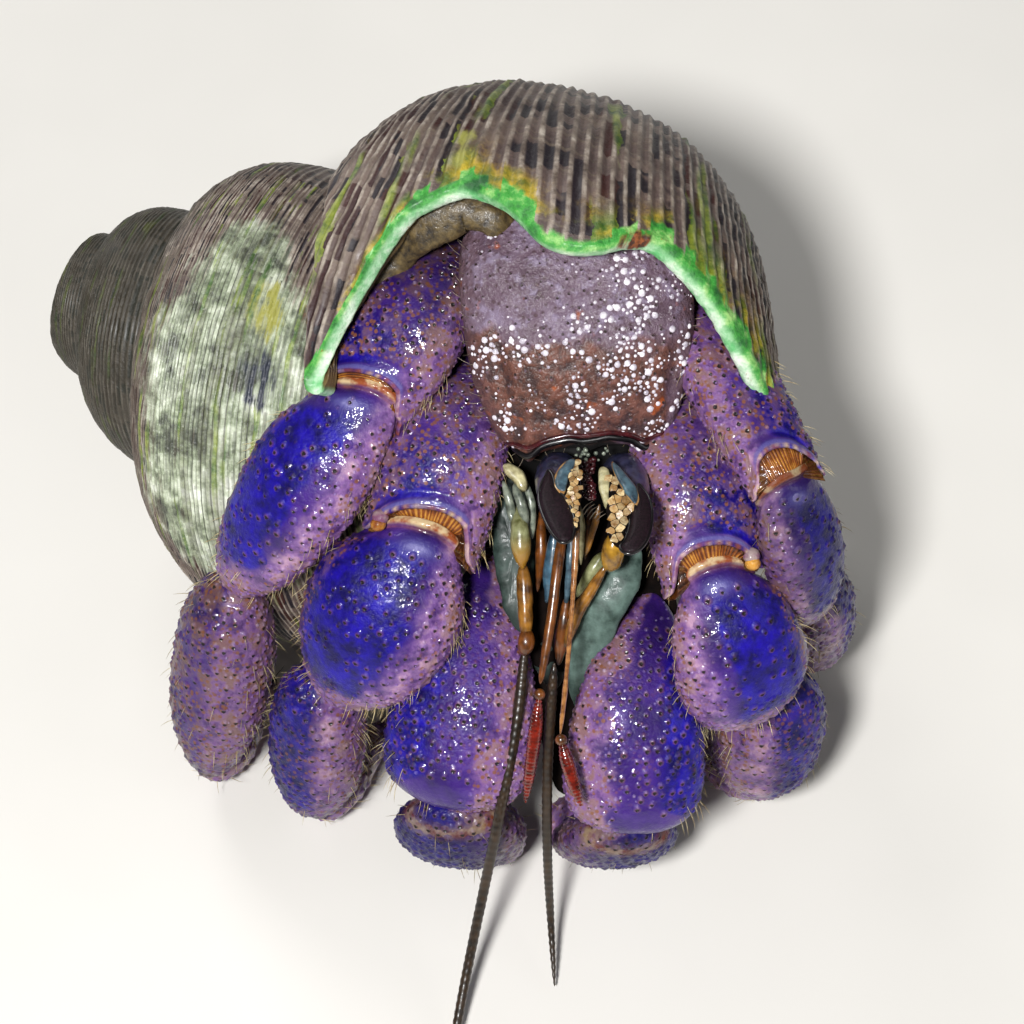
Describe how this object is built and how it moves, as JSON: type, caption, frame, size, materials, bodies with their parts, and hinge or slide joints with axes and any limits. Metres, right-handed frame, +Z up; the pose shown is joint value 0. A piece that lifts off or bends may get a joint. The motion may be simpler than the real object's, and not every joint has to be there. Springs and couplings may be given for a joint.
{
  "type": "hermit crab",
  "caption": "Life-size still model of a purple land hermit crab crouched in the mouth of a ribbed turban shell, for museum display or set dressing.",
  "frame": {"origin": "middle of the footprint, on the floor", "axes": "+Z up; the animal faces -Y and its right side is at -X; the shell's spire points to -X"},
  "size_m": [0.0426, 0.0524, 0.0355],
  "materials": {
    "turban_shell": "weathered, low gloss, with spiral cords",
    "shield_cuticle": "satin cuticle with pale granules",
    "violet_cuticle": "wet-looking violet cuticle with dark pits",
    "soft_cuticle": "smooth moist thin cuticle",
    "cornea": "dark gloss, finely faceted",
    "feeler_cuticle": "satin ringed cuticle"
  },
  "bodies": {
    "root": {"shell": "turban_shell", "eye_right": "cornea", "eyestalk_right": "soft_cuticle", "eye_left": "cornea", "eyestalk_left": "soft_cuticle", "antennule_right": "feeler_cuticle", "antenna_base_right": "soft_cuticle", "antenna_right": "feeler_cuticle", "antennule_left": "feeler_cuticle", "antenna_base_left": "soft_cuticle", "antenna_left": "feeler_cuticle", "carapace_shield": "shield_cuticle", "leg2_right_carpus": "violet_cuticle", "leg2_left_carpus": "violet_cuticle", "leg3_right_carpus": "violet_cuticle", "leg3_left_carpus": "violet_cuticle", "leg2_right_dactylus": "violet_cuticle", "leg2_right_propodus": "violet_cuticle", "leg2_left_dactylus": "violet_cuticle", "leg2_left_propodus": "violet_cuticle", "leg3_right_dactylus": "violet_cuticle", "leg3_right_propodus": "violet_cuticle", "leg3_left_dactylus": "violet_cuticle", "leg3_left_propodus": "violet_cuticle", "cheliped_right_finger": "violet_cuticle", "cheliped_right_palm": "violet_cuticle", "cheliped_left_finger": "violet_cuticle", "cheliped_left_palm": "violet_cuticle", "cheliped_right_carpus": "violet_cuticle", "cheliped_left_carpus": "violet_cuticle", "leg2_right_merus": "violet_cuticle", "leg2_left_merus": "violet_cuticle", "leg3_right_merus": "violet_cuticle", "leg3_left_merus": "violet_cuticle", "cheliped_right_merus": "soft_cuticle", "cheliped_left_merus": "soft_cuticle", "maxilliped_right": "soft_cuticle", "maxilliped_left": "soft_cuticle", "thorax": "soft_cuticle", "abdomen": "soft_cuticle"}
  },
  "joints": []
}
